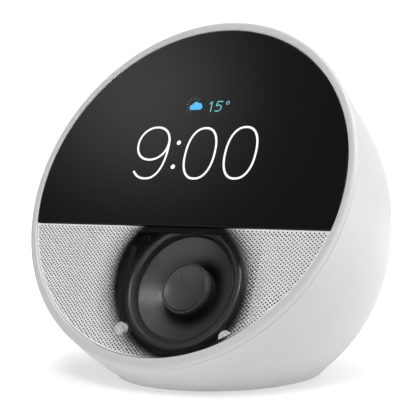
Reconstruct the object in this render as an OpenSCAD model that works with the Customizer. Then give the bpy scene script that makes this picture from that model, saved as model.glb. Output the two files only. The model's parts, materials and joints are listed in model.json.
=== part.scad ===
// Table-top smart display: a truncated egg-shaped body whose tilted round front holds a display
// lens above a cloth speaker grille. Millimetres. +Z is up and the front faces -Y. The origin is
// the centre of the foot, on the surface that the object stands on.

/* [Body] */
// Radius of the body about its own axis
body_r = 55.8; // [55.4:0.1:56.4]
// Angle of the body's axis below the horizontal, in degrees
axis_drop = 33.5; // [33:0.5:34]
// Length of the straight part of the body, measured along its axis from the middle of the face
straight_len = 16; // [15:0.5:17]
// Radius of the long arc that follows the straight part
flank_r = 78; // [76:1:80]
// Angle that the long arc turns through before the round tail, in degrees
flank_turn = 52; // [50:1:54]
// Thickness of the housing wall
wall = 2.2; // [2:0.1:2.4]

/* [Face] */
// Lean of the face, measured back from the vertical, in degrees
face_tilt = 24.7; // [24:0.1:25.4]
// Y of the middle of the face
face_y = -25; // [-26:0.5:-24]
// Height of the middle of the face
face_z = 60; // [59.5:0.1:60.5]
// Radius of the opening in the front ring
opening_r = 53.5; // [53.2:0.1:53.7]
// Height of the straight joint between lens and grille, above the middle of the face
split_v = -13.2; // [-13.6:0.1:-12.8]
// Width of the line between the ring and the housing
seam_gap = 0.15; // [0.1:0.05:0.25]

/* [Speaker] */
// Height of the loudspeaker's centre on the face, above the middle of the face
driver_v = -27.4; // [-27.8:0.1:-27]
// Depth of the loudspeaker's mounting flange behind the face
flange_depth = 14; // [13.8:0.1:14.2]
// Radius of the crest of the rubber surround
surround_r = 19.2; // [19:0.1:19.3]
// Radius of the dust cap
cap_r = 8.05; // [7.95:0.05:8.15]

/* [Buttons] */
// Radius of each button
button_r = 4.8; // [4.6:0.1:4.9]
// Distance from one button to the next
button_pitch = 16; // [15.5:0.1:16.2]
// Free travel of a button before it meets its switch
button_gap = 0.7; // [0.65:0.05:0.8]

/* [Base] */
// Height of the housing's lower edge above the table
rim_z = 0.7; // [0.5:0.1:0.9]
// Height of the power inlet's axis
inlet_z = 16; // [15.5:0.5:16.5]
// Radius of the recess that the power plug enters
inlet_r = 5; // [4.8:0.1:5]

/* [Hidden] */

$fn = 64;
smooth_fn = 160;
far = 200;
overlap = 0.02;

white = [0.93, 0.93, 0.93];
light_grey = [0.8, 0.8, 0.8];
black = [0.06, 0.06, 0.06];
dark_grey = [0.2, 0.2, 0.2];
steel = [0.7, 0.71, 0.72];
copper = [0.75, 0.45, 0.25];
board_green = [0.08, 0.3, 0.18];

// The long arc's centre, its far end, and the round tail that continues it to the axis. The tail
// stands out by a hair, so that the two arcs cross instead of only touching.
flank_c = [body_r - flank_r, straight_len];
flank_end = flank_c + flank_r * [cos(flank_turn), sin(flank_turn)];
tail_r = flank_end[0] / cos(flank_turn);
tail_s = flank_end[1] - tail_r * sin(flank_turn);
tail_lap = 0.03;

// Layers of the face, as depths behind its plane
ring_lip = 1.2;
cloth_front = 0.4;
lens_front = 0.3;
lens_back = 1.4;
tape_back = 1.6;
flange_back = 2.6;
ledge_back = 4;
panel_front = 1.65;
panel_back = 3.05;
backlight_back = 4.85;
shield_back = 5.15;
carrier_floor = 5.6;
carrier_back = 6.8;

// Radii of the pieces that sit in the ring's opening
lens_r = opening_r - 0.2;
carrier_r = opening_r - 0.3;
ring_wall_r = opening_r + 0.8;
ledge_r = opening_r - 1.3;

// Display module, centred on the face's vertical centre line
panel_w = 60;
panel_h = 47;
panel_v = 14.5;
pocket_w = panel_w + 1;
pocket_low = panel_v - panel_h / 2 - 1.2;
pocket_high = panel_v + panel_h / 2 + 0.6;
carrier_wall = 1.2;
display_screw_spots = [[-49.4, 6], [49.4, 6], [-15, 47.5], [15, 47.5]];

// Main board
board_w = 66;
board_low = -3;
board_high = 37;
board_front = 10.8;
board_back = 12.4;
board_screw_spots = [[-29, 1], [29, 1], [-29, 33], [29, 33]];
can_back = 14.6;
spreader_front = 15.4;
spreader_back = 16.8;

// Loudspeaker, as depths behind the face
flange_t = 1.4;
gasket_t = 0.6;
baffle_front = flange_depth + flange_t + gasket_t;
baffle_back = baffle_front + 2;
box_back = 39.5;
box_w = 68;
box_low = -50;
box_high = -5;
box_round = 46;
box_wall = 1.6;
box_floor_z = 4.8;
driver_screw_spots = [[-18.5, -14.6], [18.5, -14.6], [-18.5, 14.6], [18.5, 14.6]];
box_screw_spots = [[-45.5, -18.5], [45.5, -18.5], [-33.5, -36.5], [33.5, -36.5]];
roll_r = 2.1;
cone_edge_r = 17.2;
neck_r = 7.87;
neck_depth = 19.3;
spider_depth = 23.1;
basket_hole_r = 20.6;
motor_front = 28.2;
motor_r = 13.4;
plate_back = 30.2;
magnet_back = 34.7;
yoke_back = 37;

// Heights above the body's axis of the pieces under the buttons
switch_board_u = 44;
switch_board_t = 1.2;
switch_base_u = switch_board_u + switch_board_t;
switch_top_u = switch_base_u + 1.7;
plunger_u = switch_top_u + button_gap;
button_flange_u = plunger_u + 0.9;
collar_u = button_flange_u + 1.1;
button_s = 14.5;
button_clear = 0.25;
collar_r = 7;
mic_s = 4.6;
mic_x = 8;
button_proud = 0.3;
button_board_screw_spots = [[-21.5, 4.6], [21.5, 4.6], [-8, 23.4], [8, 23.4]];

// Base, as heights above the table
foot_top = 1.2;
cover_top = 3;
ledge_top = 4.5;
cover_inset = 1.75;
base_screw_spots = [[-23, 4], [23, 4], [-15.5, 24], [15.5, 24]];

// Power inlet
sleeve_y = 38.5;
sleeve_r = inlet_r + 1.6;
power_board_z = 9.2;
power_board_t = 1.6;
power_post_spots = [[-9.5, 31], [9.5, 31]];

// Screws: head radius, head height, shank radius
small_screw = [1.8, 1.2, 0.95];
driver_screw = [2, 1.3, 1.1];

// Hand-laid routes of the inner leads
power_route = [
    [8, 27, 13.4], [9, 23, 21], [13, 17, 33], [19, 7, 46], [23, -4, 52], [23, -9, 53.6], [23, -12.5, 53.5]
];
speaker_route = [
    [-13.4, -13.2, -23.6], [-13.2, -11, -25.3], [-12.4, -8.8, -26], [-12, -6.2, -26],
    [-12, -3.4, -26], [-12.2, -1.8, -24], [-13.4, -1, -18.5], [-14, -0.9, -14]
];

// ---- Frames ---------------------------------------------------------------------------------

// Face frame: x across, y up the face, z out of it; depth counts backwards from the face
module on_face(x = 0, v = 0, depth = 0) {
    translate([0, face_y, face_z])
        rotate([90 - face_tilt, 0, 0])
            translate([x, v, -depth])
                children();
}

// Top frame: x across, y back along the body's axis, z out through the top of the body
module on_top(x = 0, s = 0, u = 0) {
    translate([0, face_y, face_z])
        rotate([-axis_drop, 0, 0])
            translate([x, s, u])
                children();
}

// Loudspeaker frame: its own axis, with z out of the face and depths as on the face
module on_driver() {
    on_face(0, driver_v, 0) children();
}

// ---- Shapes that repeat ---------------------------------------------------------------------

// Half of the body's outline, `inset` inside the outer surface
module body_profile(inset) {
    end_s = straight_len + (flank_r - inset) * sin(flank_turn);
    translate([0, -straight_len]) square([body_r - inset, 2 * straight_len]);
    intersection() {
        translate(flank_c) circle(r = flank_r - inset, $fn = smooth_fn);
        translate([0, straight_len]) square([body_r, end_s - straight_len]);
    }
    intersection() {
        translate([0, tail_s]) circle(r = tail_r + tail_lap - inset, $fn = smooth_fn);
        translate([0, tail_s]) square([body_r, tail_r + 1]);
    }
}

module body_solid(inset = 0) {
    on_top() rotate([-90, 0, 0]) rotate_extrude($fn = smooth_fn) body_profile(inset);
}

module behind_face(depth) {
    on_face(0, 0, depth) translate([-far / 2, -far / 2, -far]) cube([far, far, far]);
}

module above(height) {
    translate([-far / 2, -far / 2, height]) cube([far, far, far]);
}

module level_slab(low, high) {
    translate([-far / 2, -far / 2, low]) cube([far, far, high - low]);
}

module face_block(x0, x1, v0, v1, d0, d1) {
    on_face(x0, v0, d1) cube([x1 - x0, v1 - v0, d1 - d0]);
}

module face_disc(r, d0, d1) {
    on_face(0, 0, d1) cylinder(r = r, h = d1 - d0, $fn = smooth_fn);
}

module face_pin(spot, r, d0, d1) {
    on_face(spot[0], spot[1], d1) cylinder(r = r, h = d1 - d0);
}

module upper_segment(r, low, d0, d1) {
    intersection() {
        face_disc(r, d0, d1);
        face_block(-far / 2, far / 2, low, far, d0 - 1, d1 + 1);
    }
}

module lower_segment(r, high, d0, d1) {
    intersection() {
        face_disc(r, d0, d1);
        face_block(-far / 2, far / 2, -far, high, d0 - 1, d1 + 1);
    }
}

// A pan-head screw with a cross recess: its head is above z = 0 and its shank below
module screw(size, length) {
    slot_w = 0.5;
    slot_l = size[0] * 1.2;
    slot_depth = size[1] * 0.6;
    difference() {
        union() {
            cylinder(r = size[0], h = size[1]);
            translate([0, 0, -length]) cylinder(r = size[2], h = length + overlap);
        }
        for (turn = [0, 90])
            rotate([0, 0, turn])
                translate([-slot_l / 2, -slot_w / 2, size[1] - slot_depth])
                    cube([slot_l, slot_w, size[1]]);
    }
}

// A ring turned about z from r0 to r1, between two depths
module turned_ring(r0, r1, d0, d1) {
    translate([0, 0, -d1])
        difference() {
            cylinder(r = r1, h = d1 - d0, $fn = smooth_fn);
            translate([0, 0, -1]) cylinder(r = r0, h = d1 - d0 + 2, $fn = smooth_fn);
        }
}

module rounded_plate(w, h, r, t) {
    linear_extrude(t)
        union() {
            square([w - 2 * r, h], center = true);
            square([w, h - 2 * r], center = true);
            for (x = [-1, 1], y = [-1, 1])
                translate([x * (w / 2 - r), y * (h / 2 - r)]) circle(r = r);
        }
}

// Unit direction of a route at point i
function heading(route, i) =
    let (a = route[max(i - 1, 0)], b = route[min(i + 1, len(route) - 1)])
    (b - a) / norm(b - a);

// A lead of round section swept along a route
module lead(route, r, sides = 8) {
    rings = [
        for (i = [0 : len(route) - 1])
            let (
                t = heading(route, i),
                side = cross(t, [0.3, 1, 0.2]) / norm(cross(t, [0.3, 1, 0.2])),
                up = cross(side, t)
            )
            for (k = [0 : sides - 1])
                route[i] + r * (cos(360 * k / sides) * side + sin(360 * k / sides) * up)
    ];
    last = (len(route) - 1) * sides;
    walls = [
        for (i = [0 : len(route) - 2], k = [0 : sides - 1])
            let (a = i * sides + k, b = i * sides + (k + 1) % sides)
            [a, b, b + sides, a + sides]
    ];
    ends = [
        [for (k = [sides - 1 : -1 : 0]) k],
        [for (k = [0 : sides - 1]) last + k]
    ];
    polyhedron(points = rings, faces = concat(walls, ends), convexity = 4);
}

// ---- Housing and front ----------------------------------------------------------------------

// A screw boss with a web that ties it to the housing wall
module wall_boss(spot, d0, d1) {
    out = atan2(spot[1], spot[0]);
    intersection() {
        on_face(0, 0, d1)
            union() {
                translate([spot[0], spot[1], 0]) cylinder(r = 3.2, h = d1 - d0);
                rotate([0, 0, out])
                    translate([norm(spot) + 2, -1.5, 0]) cube([10, 3, d1 - d0]);
            }
        body_solid(wall / 2);
        above(rim_z + 1);
    }
}

module button_collars() {
    intersection() {
        for (i = [-1 : 1])
            on_top(i * button_pitch, button_s, collar_u) cylinder(r = collar_r, h = 12);
        body_solid(wall / 2);
    }
}

module button_board_bosses() {
    intersection() {
        for (spot = button_board_screw_spots)
            on_top(spot[0], spot[1], switch_base_u) cylinder(r = 2.6, h = 14);
        body_solid(wall / 2);
    }
}

module base_bosses() {
    intersection() {
        union() {
            for (spot = base_screw_spots)
                translate([spot[0], spot[1], ledge_top - overlap]) cylinder(r = 2.8, h = 4.5);
            for (spot = power_post_spots)
                translate([spot[0], spot[1], ledge_top - overlap])
                    cylinder(r = 2.4, h = power_board_z - ledge_top + overlap);
        }
        body_solid(wall / 2);
    }
}

module inlet_sleeve() {
    intersection() {
        translate([0, sleeve_y, inlet_z]) rotate([-90, 0, 0]) cylinder(r = sleeve_r, h = 20);
        body_solid(wall / 2);
    }
}

module housing_shell() {
    difference() {
        intersection() {
            body_solid(0);
            behind_face(ring_lip + seam_gap);
            above(rim_z);
        }
        intersection() {
            body_solid(wall);
            above(ledge_top);
        }
        intersection() {
            body_solid(7);
            level_slab(0, ledge_top + 1);
        }
        intersection() {
            body_solid(cover_inset - 0.15);
            level_slab(0, cover_top + 0.05);
        }
        face_disc(ring_wall_r + 0.15, -2, ledge_back + 0.3);
    }
}

module rear_housing() {
    color(white)
        difference() {
            union() {
                housing_shell();
                for (spot = display_screw_spots)
                    wall_boss(spot, 4.6, spot[1] > 20 ? 8.2 : 14);
                for (spot = box_screw_spots)
                    wall_boss(spot, baffle_back, baffle_back + 9);
                button_collars();
                button_board_bosses();
                base_bosses();
                inlet_sleeve();
            }
            for (spot = display_screw_spots)
                face_pin(spot, small_screw[2], 4, 11);
            for (spot = box_screw_spots)
                face_pin(spot, small_screw[2], baffle_back - 1, baffle_back + 7);
            for (i = [-1 : 1])
                on_top(i * button_pitch, button_s, collar_u - 1)
                    cylinder(r = button_r + button_clear, h = 14);
            for (spot = button_board_screw_spots)
                on_top(spot[0], spot[1], switch_base_u - 1) cylinder(r = small_screw[2], h = 6);
            for (side = [-1, 1])
                on_top(side * mic_x, mic_s, switch_base_u) cylinder(r = 0.6, h = 14, $fn = 24);
            for (spot = base_screw_spots)
                translate([spot[0], spot[1], 1]) cylinder(r = small_screw[2], h = 7);
            for (spot = power_post_spots)
                translate([spot[0], spot[1], ledge_top - 0.5]) cylinder(r = small_screw[2], h = 6);
            translate([0, sleeve_y - 1, inlet_z]) rotate([-90, 0, 0]) cylinder(r = inlet_r, h = 30);
        }
}

module front_ring() {
    round_r = 0.6;
    outer_r = 56.1;
    color(white)
        difference() {
            union() {
                intersection() {
                    body_solid(0);
                    on_face()
                        rotate_extrude($fn = smooth_fn)
                            union() {
                                translate([0, -ring_lip]) square([outer_r - round_r, ring_lip]);
                                translate([0, -ring_lip]) square([outer_r, ring_lip - round_r]);
                                translate([outer_r - round_r, -round_r]) circle(r = round_r);
                            }
                }
                face_disc(ring_wall_r, ring_lip - overlap, ledge_back);
            }
            face_disc(opening_r, -1, flange_back);
            face_disc(ledge_r, flange_back - 1, ledge_back + 1);
        }
}

module display_lens() {
    color(black) upper_segment(lens_r, split_v + 0.1, lens_front, lens_back);
}

module lens_tape() {
    strip = 1.7;
    color(dark_grey)
        difference() {
            upper_segment(lens_r - 0.2, split_v + 0.4, lens_back, tape_back);
            upper_segment(lens_r - 0.2 - strip, split_v + 0.4 + strip, lens_back - 1, tape_back + 1);
        }
}

module optical_adhesive() {
    color([0.9, 0.9, 0.95, 0.5])
        face_block(-panel_w / 2 + 1, panel_w / 2 - 1, panel_v - panel_h / 2 + 1,
                   panel_v + panel_h / 2 - 1, lens_back, panel_front);
}

module lcd_panel() {
    color(black)
        face_block(-panel_w / 2, panel_w / 2, panel_v - panel_h / 2, panel_v + panel_h / 2,
                   panel_front, panel_back);
}

module backlight_unit() {
    color(light_grey)
        face_block(-panel_w / 2, panel_w / 2, panel_v - panel_h / 2, panel_v + panel_h / 2,
                   panel_back, backlight_back);
}

// A thin steel tray behind the backlight, with its edges turned up
module display_shield() {
    t = shield_back - backlight_back;
    color(steel)
        difference() {
            face_block(-panel_w / 2 - t, panel_w / 2 + t, panel_v - panel_h / 2 - t,
                       panel_v + panel_h / 2 + t, panel_back, shield_back);
            face_block(-panel_w / 2, panel_w / 2, panel_v - panel_h / 2, panel_v + panel_h / 2,
                       panel_back - 1, backlight_back);
            face_block(-7, 7, panel_v - panel_h / 2 - 1, panel_v - panel_h / 2 + 1,
                       panel_back - 1, shield_back + 1);
        }
}

module lcd_flex() {
    t = 0.2;
    low = panel_v - panel_h / 2 - 0.6;
    color([0.75, 0.5, 0.2]) {
        face_block(-6, 6, low, low + t, panel_front + 0.4, shield_back + 0.1 + t);
        face_block(-6, 6, low, 4, shield_back + 0.1, shield_back + 0.1 + t);
        face_block(-6, 6, 4 - t, 4, shield_back + 0.1, board_front - 0.2);
        face_block(-6, 6, low, panel_v - panel_h / 2, panel_front + 0.4, panel_front + 0.4 + t);
    }
}

module display_carrier() {
    outer_w = pocket_w + 2 * carrier_wall;
    low = pocket_low - carrier_wall;
    high = pocket_high + carrier_wall;
    color(dark_grey)
        difference() {
            union() {
                upper_segment(carrier_r, split_v + 0.3, tape_back, flange_back);
                face_block(-outer_w / 2, outer_w / 2, low, high, tape_back, carrier_back);
                for (spot = display_screw_spots)
                    intersection() {
                        face_pin(spot, 3.2, tape_back, 4.4);
                        face_disc(ledge_r - 0.2, tape_back, 4.4);
                    }
                for (spot = board_screw_spots)
                    face_pin(spot, 2.6, carrier_floor, board_front);
                for (side = [-1, 1], v = [5, 20])
                    face_block(min(side * 30, side * 46), max(side * 30, side * 46), v - 14, v - 13,
                               tape_back, 4.4);
            }
            face_block(-pocket_w / 2, pocket_w / 2, pocket_low, pocket_high, 0, carrier_floor);
            face_block(-7, 7, 2.5, 5.5, carrier_floor - 1, carrier_back + 1);
            for (x = [-20, 0, 20])
                face_block(x - 7, x + 7, 10, 30, carrier_floor - 1, carrier_back + 1);
            for (spot = display_screw_spots) {
                face_pin(spot, small_screw[0] + 0.2, 0, 2.95);
                face_pin(spot, small_screw[2] + 0.1, 0, 6);
            }
            for (spot = board_screw_spots)
                face_pin(spot, small_screw[2], carrier_floor - 1, board_front + 1);
        }
}

module display_screws() {
    color(steel)
        for (spot = display_screw_spots)
            on_face(spot[0], spot[1], 2.95) screw(small_screw, 6);
}

// ---- Grille ---------------------------------------------------------------------------------

module grille_cloth() {
    color(light_grey) lower_segment(lens_r, split_v - 0.1, cloth_front, 0.9);
}

module grille_frame() {
    rim = 1.2;
    leg_r = 50.4;
    color(light_grey) {
        difference() {
            lower_segment(carrier_r, split_v - 0.25, 0.9, flange_back);
            lower_segment(carrier_r - rim, split_v - 0.25 - rim, 0, flange_back + 1);
        }
        intersection() {
            for (x = [-30, 30])
                face_block(x - 0.8, x + 0.8, -55, split_v - 1, 1.2, flange_back);
            face_disc(carrier_r - 1, 0, flange_back + 1);
        }
        for (turn = [-150, -105, -42])
            on_face()
                rotate([0, 0, turn]) {
                    translate([leg_r, -3, -flange_back]) cube([2.2, 6, flange_back - 0.9]);
                    translate([leg_r, -3, -5.2]) cube([1.4, 6, 5.2 - flange_back + overlap]);
                    translate([51.7, -3, -5.2]) cube([1.1, 6, 5.2 - ledge_back - 0.1]);
                }
    }
}

// ---- Loudspeaker ----------------------------------------------------------------------------

module speaker_baffle() {
    color(light_grey)
        difference() {
            intersection() {
                union() {
                    lower_segment(51, -4.2, baffle_front, baffle_back);
                    for (side = [-1, 1]) {
                        face_block(min(side * 22.4, side * 24), max(side * 22.4, side * 24),
                                   -44, -14.5, baffle_front - 2.4, baffle_back);
                        face_block(min(side * 24, side * 40), max(side * 24, side * 40),
                                   -28, -26.6, baffle_front - 1.8, baffle_back);
                    }
                }
                body_solid(wall + 0.5);
                above(box_floor_z);
            }
            on_driver() turned_ring(0, basket_hole_r, baffle_front - 3, baffle_back + 1);
            for (side = [-1, 1])
                on_face(side * 29.5, -34, baffle_back - 0.8)
                    rotate([0, 0, side * 18]) rounded_plate(4, 10, 1.9, 5);
            for (side = [-1, 1])
                on_face(side * 29, -21.5, baffle_back - 0.8)
                    rounded_plate(6, 6, 1.5, 5);
            for (spot = box_screw_spots)
                face_pin(spot, small_screw[2] + 0.1, baffle_front - 3, baffle_back + 1);
            on_driver()
                for (spot = driver_screw_spots)
                    translate([spot[0], spot[1], -baffle_back - 1])
                        cylinder(r = driver_screw[2], h = 6);
        }
}

// The outside of the rear chamber, or its inside when `inset` is the wall thickness
module chamber(inset) {
    intersection() {
        face_block(-box_w / 2 + inset, box_w / 2 - inset, box_low, box_high - inset,
                   baffle_back, box_back - inset);
        face_disc(box_round - inset, baffle_back - inset, box_back - inset);
        body_solid(wall + 1.2 + inset);
        above(box_floor_z + inset);
    }
}

module speaker_box() {
    color(dark_grey)
        difference() {
            chamber(0);
            chamber(box_wall);
            on_driver() turned_ring(0, basket_hole_r, baffle_back - 1, baffle_back + 4);
            on_face(-12, box_high - 4, 26) rotate([-90, 0, 0]) cylinder(r = 2, h = 8);
            on_driver()
                for (spot = driver_screw_spots)
                    translate([spot[0], spot[1], -baffle_back - 6])
                        cylinder(r = driver_screw[2] + 0.2, h = 7);
        }
}

module box_screws() {
    color(steel)
        for (spot = box_screw_spots)
            on_face(spot[0], spot[1], baffle_front) screw(small_screw, 7);
}

module flange_outline() {
    intersection() {
        union() {
            circle(r = 22.2, $fn = smooth_fn);
            for (spot = driver_screw_spots)
                hull() {
                    translate(spot) circle(r = 3.1, $fn = 32);
                    translate(spot * 0.6) circle(r = 5, $fn = 32);
                }
        }
        square([42.6, 44], center = true);
    }
}

module speaker_gasket() {
    color(black)
        on_driver() turned_ring(basket_hole_r, 22, baffle_front - gasket_t, baffle_front);
}

// Pressed basket: flange, sloping wall with four windows, spider ledge and motor seat
module speaker_frame() {
    back = flange_depth + flange_t;
    color(black)
        on_driver()
            difference() {
                union() {
                    translate([0, 0, -back])
                        linear_extrude(flange_t) flange_outline();
                    rotate_extrude($fn = smooth_fn)
                        polygon([
                            [20.2, -back + overlap], [15.9, -22.6], [15.9, -24], [14.7, -24],
                            [14.7, -motor_front], [9.2, -motor_front], [9.2, -motor_front + 1.1],
                            [13.5, -motor_front + 1.1], [13.5, -spider_depth - 0.3],
                            [14.8, -spider_depth - 0.3], [14.8, -22.2], [18.9, -back + overlap]
                        ]);
                }
                translate([0, 0, -back - 1]) cylinder(r = 18.9, h = flange_t + 2, $fn = smooth_fn);
                for (turn = [0 : 90 : 270])
                    rotate([0, 0, turn])
                        translate([-6.5, 10, -21.8]) cube([13, 12, 5]);
                for (spot = driver_screw_spots)
                    translate([spot[0], spot[1], -back - 1])
                        cylinder(r = driver_screw[2] + 0.1, h = flange_t + 2);
            }
}

module speaker_screws() {
    color(steel)
        on_driver()
            for (spot = driver_screw_spots)
                translate([spot[0], spot[1], -flange_depth]) screw(driver_screw, 6);
}

// Half-roll rubber edge between the flange and the cone
module surround() {
    skin = 0.4;
    base = -flange_depth + 0.02;
    color(black)
        on_driver()
            rotate_extrude($fn = smooth_fn)
                union() {
                    difference() {
                        translate([surround_r, base]) circle(r = roll_r);
                        translate([surround_r, base]) circle(r = roll_r - skin);
                        translate([0, base - far]) square([far, far]);
                    }
                    translate([surround_r + roll_r - skin, base]) square([0.6, skin]);
                    translate([surround_r - roll_r - 0.9, base]) square([0.9 + skin, skin]);
                }
}

// Radius and depth of the cone's front face at a fraction f from neck to edge
function cone_point(f, shift) =
    [neck_r + 0.02 + (cone_edge_r - neck_r - 0.02) * f,
     -neck_depth + (neck_depth - flange_depth - 0.12) * pow(f, 1.2) - shift];

module cone() {
    skin = 0.4;
    steps = 8;
    color(dark_grey)
        on_driver()
            rotate_extrude($fn = smooth_fn)
                polygon(concat(
                    [for (i = [0 : steps]) cone_point(i / steps, 0)],
                    [for (i = [steps : -1 : 0]) cone_point(i / steps, skin)]
                ));
}

// Raised cap with a rolled rim and a dished middle
module dust_cap() {
    skin = 0.4;
    front = -14.4;
    foot = -19.1;
    bowl_r = 22;
    bowl_depth = 1.1;
    color(dark_grey)
        on_driver()
            union() {
                turned_ring(cap_r - skin, cap_r, -front, -foot);
                intersection() {
                    translate([0, 0, front - bowl_depth + bowl_r])
                        difference() {
                            sphere(r = bowl_r + skin, $fn = smooth_fn);
                            sphere(r = bowl_r, $fn = smooth_fn);
                        }
                    turned_ring(0, cap_r - skin + overlap, -front, -front + 4);
                }
            }
}

module coil_former() {
    color([0.85, 0.8, 0.6]) on_driver() turned_ring(7.6, 7.85, 19.15, 32.2);
}

module voice_coil() {
    color(copper) on_driver() turned_ring(7.87, 8.3, 26.9, 31.5);
}

// Corrugated cloth ring that centres the coil
module spider() {
    skin = 0.3;
    waves = 3;
    height = 0.5;
    r0 = 7.9;
    r1 = 13.2;
    landing_r = 14.7;
    steps = 27;
    wave = [
        for (i = [0 : steps])
            [r0 + (r1 - r0) * i / steps, -spider_depth + height * sin(360 * waves * i / steps)]
    ];
    color([0.7, 0.55, 0.3])
        on_driver()
            rotate_extrude($fn = smooth_fn)
                polygon(concat(
                    wave,
                    [[landing_r, -spider_depth], [landing_r, -spider_depth - skin]],
                    [for (i = [steps : -1 : 0]) wave[i] - [0, skin]]
                ));
}

module top_plate() {
    color(steel) on_driver() turned_ring(8.7, motor_r, motor_front, plate_back);
}

module magnet() {
    color([0.3, 0.3, 0.32]) on_driver() turned_ring(9.8, motor_r, plate_back, magnet_back);
}

module yoke() {
    color(steel)
        on_driver() {
            translate([0, 0, -yoke_back])
                cylinder(r = motor_r, h = yoke_back - magnet_back, $fn = smooth_fn);
            translate([0, 0, -magnet_back - overlap])
                cylinder(r = 7.2, h = magnet_back - motor_front + overlap, $fn = smooth_fn);
        }
}

module terminal_strip() {
    color([0.6, 0.5, 0.3])
        on_driver()
            rotate([0, 0, 135]) {
                translate([16.9, -4, -21.8]) cube([3.4, 8, 0.8]);
                for (y = [-3, 1])
                    translate([17.4, y, -22.6]) cube([2.4, 2, 0.82]);
            }
}

module speaker_cable() {
    color([0.15, 0.15, 0.15])
        on_face() lead(speaker_route, 0.7);
}

module cable_grommet() {
    color(black)
        on_face(-12, box_high - box_wall - 0.6, 26)
            rotate([-90, 0, 0])
                difference() {
                    union() {
                        cylinder(r = 1.98, h = box_wall + 1.2);
                        cylinder(r = 2.8, h = 0.6);
                        translate([0, 0, box_wall + 0.6]) cylinder(r = 2.8, h = 0.6);
                    }
                    translate([0, 0, -1]) cylinder(r = 0.85, h = 8);
                }
}

// ---- Electronics ----------------------------------------------------------------------------

module main_board() {
    color(board_green)
        difference() {
            union() {
                on_face(0, (board_low + board_high) / 2, board_back)
                    rounded_plate(board_w, board_high - board_low, 2, board_back - board_front);
                face_block(-6.5, 6.5, 2.6, 3.7, board_front - 1.4, board_front + 0.1);
                face_block(-17, -11, -2.5, 0.6, board_back - 0.1, board_back + 1.2);
                face_block(20, 26, -2.5, 0.6, board_back - 0.1, board_back + 1.2);
                face_block(-4, 4, 33.5, 36, board_back - 0.1, board_back + 1.2);
                for (x = [17 : 3 : 29])
                    face_block(x, x + 1.6, 6.4, 8.4, board_back - 0.1, board_back + 1);
                for (v = [10 : 3.5 : 24])
                    face_block(-27, -23.5, v, v + 2, board_back - 0.1, board_back + 1.2);
            }
            for (spot = board_screw_spots)
                face_pin(spot, small_screw[2] + 0.1, board_front - 1, board_back + 1);
        }
}

module processor() {
    color(black) face_block(-8, 6, 10, 24, board_back, board_back + 1.4);
}

module shield_can() {
    t = 0.3;
    color(steel)
        difference() {
            face_block(-16, 14, 4, 30, board_back, can_back);
            face_block(-16 + t, 14 - t, 4 + t, 30 - t, board_back - 1, can_back - t);
        }
}

module thermal_pad() {
    color([0.6, 0.7, 0.8]) face_block(-13, 11, 7, 27, can_back, spreader_front);
}

// Aluminium plate on four spacers, held by the main board's screws
module heat_spreader() {
    color(steel)
        difference() {
            union() {
                face_block(-32, 32, 5, 35.5, spreader_front, spreader_back);
                for (spot = board_screw_spots)
                    face_pin(spot, 3, spot[1] < 10 ? spreader_front : board_back, spreader_back);
                for (spot = board_screw_spots)
                    if (spot[1] < 10)
                        face_pin(spot, 2.4, board_back, spreader_back);
                for (side = [-1, 1])
                    face_block(side * 29 - 3, side * 29 + 3, 1, 6, spreader_front, spreader_back);
            }
            for (spot = board_screw_spots)
                face_pin(spot, small_screw[2] + 0.1, board_back - 1, spreader_back + 1);
            for (x = [-26 : 4 : 26])
                face_block(x, x + 1.6, 9, 31, spreader_back - 0.5, spreader_back + 1);
        }
}

module wireless_module() {
    color(steel) face_block(17, 31, 11, 27, board_back, board_back + 2);
}

module board_screws() {
    color(steel)
        for (spot = board_screw_spots)
            on_face(spot[0], spot[1], spreader_back) rotate([180, 0, 0]) screw(small_screw, 9.5);
}

// Thin antenna strip on the inside of the housing wall
module antenna(side) {
    color([0.75, 0.5, 0.2])
        difference() {
            intersection() {
                body_solid(wall);
                on_top(side > 0 ? 30 : -60, 26, 8) cube([30, 26, 10]);
            }
            body_solid(wall + 0.35);
        }
}

module antenna_left() {
    antenna(-1);
}

module antenna_right() {
    antenna(1);
}

// ---- Buttons --------------------------------------------------------------------------------

module button_board() {
    color(board_green)
        difference() {
            on_top(-24.5, 1.8, switch_board_u) cube([49, 24.6, switch_board_t]);
            for (spot = button_board_screw_spots)
                on_top(spot[0], spot[1], switch_board_u - 1)
                    cylinder(r = small_screw[2] + 0.1, h = switch_board_t + 2);
        }
}

module tact_switches() {
    body_h = 1.2;
    color(steel)
        for (i = [-1 : 1])
            on_top(i * button_pitch, button_s, switch_base_u) {
                translate([-2.6, -2.6, 0]) cube([5.2, 5.2, body_h]);
                cylinder(r = 1.2, h = switch_top_u - switch_base_u);
            }
}

module microphones() {
    color([0.8, 0.7, 0.4])
        for (side = [-1, 1])
            on_top(side * mic_x, mic_s, switch_base_u)
                difference() {
                    translate([-1.8, -1.4, 0]) cube([3.6, 2.8, 1]);
                    translate([0, 0, 0.5]) cylinder(r = 0.4, h = 1, $fn = 24);
                }
}

// Rubber tube that leads the sound from its hole in the housing to a microphone
module mic_gasket(side) {
    color(black)
        difference() {
            intersection() {
                on_top(side * mic_x, mic_s, switch_base_u + 1) cylinder(r = 2.2, h = 14);
                body_solid(wall);
            }
            on_top(side * mic_x, mic_s, switch_base_u) cylinder(r = 0.7, h = 20, $fn = 24);
        }
}

module mic_gasket_left() {
    mic_gasket(-1);
}

module mic_gasket_right() {
    mic_gasket(1);
}

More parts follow.
